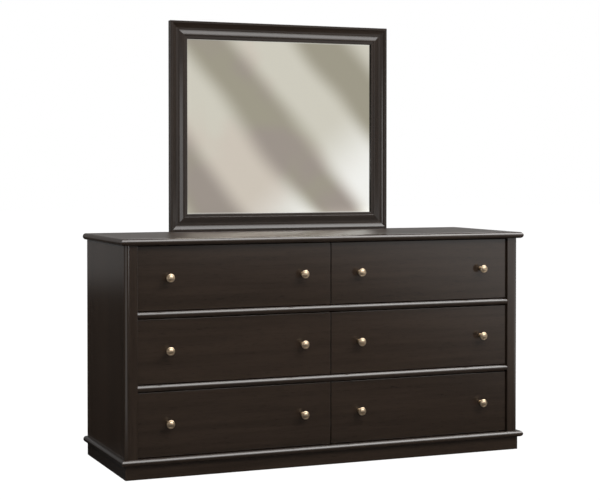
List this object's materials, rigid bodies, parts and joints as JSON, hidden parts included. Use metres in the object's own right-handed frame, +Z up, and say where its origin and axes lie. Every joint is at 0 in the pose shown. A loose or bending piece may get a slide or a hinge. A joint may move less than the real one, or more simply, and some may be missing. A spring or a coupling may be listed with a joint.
{
  "type": "dresser",
  "caption": "Wide double dresser with side-by-side banks of sliding drawers, round brass knobs and a framed mirror standing at the back of its top.",
  "frame": {"origin": "on the floor, at the middle of the footprint of the whole piece", "axes": "+Z up, +X to the right of a person facing the drawers, -Y out of the drawer fronts"},
  "size_m": [1.495, 0.5306, 1.5474],
  "materials": {
    "espresso_wood": "dark espresso stain under satin lacquer",
    "drawer_face_wood": "dark espresso stain under satin lacquer, fine grain along X",
    "drawer_box_wood": "clear-sealed birch plywood",
    "guide_wood": "plain hardwood, waxed",
    "back_hardboard": "dark brown hardboard",
    "knob_brass": "aged satin brass",
    "mirror_silver": "silvered glass with a narrow bevelled border"
  },
  "bodies": {
    "carcass": {"top_panel": "espresso_wood", "bottom_panel": "espresso_wood", "plinth_front": "espresso_wood", "plinth_left": "espresso_wood", "plinth_right": "espresso_wood", "base_moulding_front": "espresso_wood", "base_moulding_left": "espresso_wood", "base_moulding_right": "espresso_wood", "side_panel_left": "espresso_wood", "side_panel_right": "espresso_wood", "front_stile_left": "espresso_wood", "front_stile_right": "espresso_wood", "drawer_rail_lower": "espresso_wood", "drawer_rail_upper": "espresso_wood", "centre_partition": "espresso_wood", "back_panel": "back_hardboard", "lower_left_guide": "guide_wood", "lower_right_guide": "guide_wood", "middle_left_guide": "guide_wood", "middle_right_guide": "guide_wood", "upper_left_guide": "guide_wood", "upper_right_guide": "guide_wood", "mirror_frame_top": "espresso_wood", "mirror_frame_bottom": "espresso_wood", "mirror_frame_left": "espresso_wood", "mirror_frame_right": "espresso_wood", "mirror_glass": "mirror_silver", "mirror_backing": "back_hardboard", "mirror_support_left": "espresso_wood", "mirror_support_right": "espresso_wood"},
    "lower_left_drawer": {"lower_left_drawer_front": "drawer_face_wood", "lower_left_drawer_box": "drawer_box_wood", "lower_left_drawer_bottom": "drawer_box_wood", "lower_left_knob_left": "knob_brass", "lower_left_knob_right": "knob_brass"},
    "lower_right_drawer": {"lower_right_drawer_front": "drawer_face_wood", "lower_right_drawer_box": "drawer_box_wood", "lower_right_drawer_bottom": "drawer_box_wood", "lower_right_knob_left": "knob_brass", "lower_right_knob_right": "knob_brass"},
    "middle_left_drawer": {"middle_left_drawer_front": "drawer_face_wood", "middle_left_drawer_box": "drawer_box_wood", "middle_left_drawer_bottom": "drawer_box_wood", "middle_left_knob_left": "knob_brass", "middle_left_knob_right": "knob_brass"},
    "middle_right_drawer": {"middle_right_drawer_front": "drawer_face_wood", "middle_right_drawer_box": "drawer_box_wood", "middle_right_drawer_bottom": "drawer_box_wood", "middle_right_knob_left": "knob_brass", "middle_right_knob_right": "knob_brass"},
    "upper_left_drawer": {"upper_left_drawer_front": "drawer_face_wood", "upper_left_drawer_box": "drawer_box_wood", "upper_left_drawer_bottom": "drawer_box_wood", "upper_left_knob_left": "knob_brass", "upper_left_knob_right": "knob_brass"},
    "upper_right_drawer": {"upper_right_drawer_front": "drawer_face_wood", "upper_right_drawer_box": "drawer_box_wood", "upper_right_drawer_bottom": "drawer_box_wood", "upper_right_knob_left": "knob_brass", "upper_right_knob_right": "knob_brass"}
  },
  "joints": [
    {"name": "lower_left_drawer_slide", "type": "slide", "parent": "carcass", "child": "lower_left_drawer", "axis": [0, -1, 0], "range_m": [0, 0.33]},
    {"name": "lower_right_drawer_slide", "type": "slide", "parent": "carcass", "child": "lower_right_drawer", "axis": [0, -1, 0], "range_m": [0, 0.33]},
    {"name": "middle_left_drawer_slide", "type": "slide", "parent": "carcass", "child": "middle_left_drawer", "axis": [0, -1, 0], "range_m": [0, 0.33]},
    {"name": "middle_right_drawer_slide", "type": "slide", "parent": "carcass", "child": "middle_right_drawer", "axis": [0, -1, 0], "range_m": [0, 0.33]},
    {"name": "upper_left_drawer_slide", "type": "slide", "parent": "carcass", "child": "upper_left_drawer", "axis": [0, -1, 0], "range_m": [0, 0.33]},
    {"name": "upper_right_drawer_slide", "type": "slide", "parent": "carcass", "child": "upper_right_drawer", "axis": [0, -1, 0], "range_m": [0, 0.33]}
  ]
}
